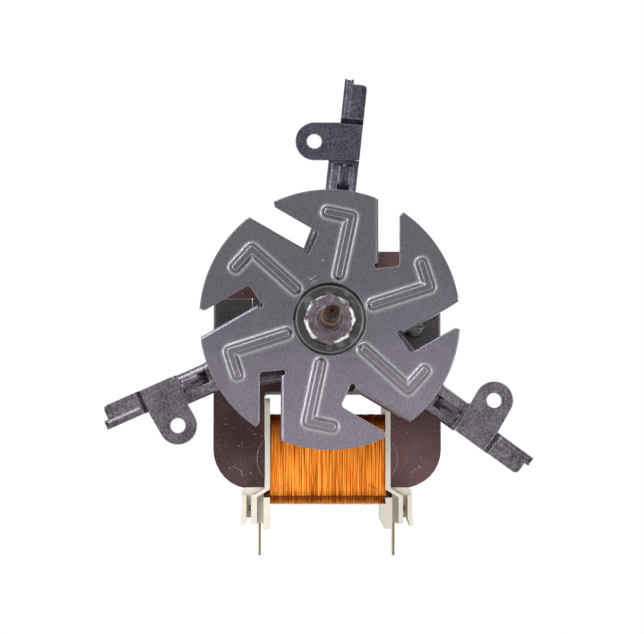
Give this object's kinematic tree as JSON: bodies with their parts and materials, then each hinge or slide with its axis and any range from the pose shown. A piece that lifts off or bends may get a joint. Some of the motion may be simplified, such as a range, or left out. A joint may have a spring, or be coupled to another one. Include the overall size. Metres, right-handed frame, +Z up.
{
  "type": "oven fan motor",
  "caption": "Shaded-pole motor for an oven fan: stamped bladed fan wheel on the shaft, pressed three-arm bracket, C-shaped laminated core, bobbin winding and push-on tabs.",
  "frame": {"origin": "centre of the mounting-hole circle, on the front face of the bracket's ears and on the shaft axis", "axes": "-Y along the shaft towards the fan and the oven, +Z up, away from the winding, +X to the right seen from the fan"},
  "size_m": [0.149, 0.1145, 0.1664],
  "materials": {
    "fan_steel": "cold-rolled sheet, faint grain, stamped",
    "hub_steel": "turned and staked, zinc-nickel tint",
    "shaft_steel": "ground",
    "bracket_zinc": "zinc-plated pressed steel, mottled",
    "strap_steel": "dark phosphated steel",
    "lamination": "blued electrical sheet, stacked",
    "rotor_iron": "turned lamination stack",
    "cage_aluminium": "die-cast",
    "ring_copper": "bare copper",
    "winding_copper": "enamelled copper wire",
    "bobbin_plastic": "moulded glass-filled plastic",
    "tab_brass": "tinned brass",
    "bearing_bronze": "sintered bronze",
    "felt": "oiled felt",
    "retainer_steel": "pressed sheet",
    "washer_plastic": "fibre laminate",
    "screw_steel": "zinc-plated"
  },
  "bodies": {
    "motor": {"mounting_bracket": "bracket_zinc", "bracket_screw_left": "screw_steel", "bracket_screw_right": "screw_steel", "front_bearing_strap": "strap_steel", "rear_bearing_strap": "strap_steel", "front_bearing": "bearing_bronze", "rear_bearing": "bearing_bronze", "front_oil_felt": "felt", "rear_oil_felt": "felt", "front_bearing_retainer": "retainer_steel", "rear_bearing_retainer": "retainer_steel", "stator_core": "lamination", "core_bar": "lamination", "shading_ring_left_wide": "ring_copper", "shading_ring_left_narrow": "ring_copper", "shading_ring_right_wide": "ring_copper", "shading_ring_right_narrow": "ring_copper", "clamp_screw_left": "screw_steel", "clamp_screw_right": "screw_steel", "clamp_nut_left": "screw_steel", "clamp_nut_right": "screw_steel", "bobbin": "bobbin_plastic", "winding": "winding_copper", "terminal_left": "tab_brass", "terminal_right": "tab_brass"},
    "rotor": {"shaft": "shaft_steel", "fan_hub": "hub_steel", "fan_wheel": "fan_steel", "rotor_core": "rotor_iron", "rotor_cage": "cage_aluminium", "spacer_front": "shaft_steel", "spacer_rear": "shaft_steel", "thrust_washer_front": "washer_plastic", "thrust_washer_rear": "washer_plastic"}
  },
  "joints": [
    {"name": "rotor_spin", "type": "hinge", "parent": "motor", "child": "rotor", "pos_m": [0, 0, 0], "axis": [0, -1, 0], "continuous": true}
  ]
}
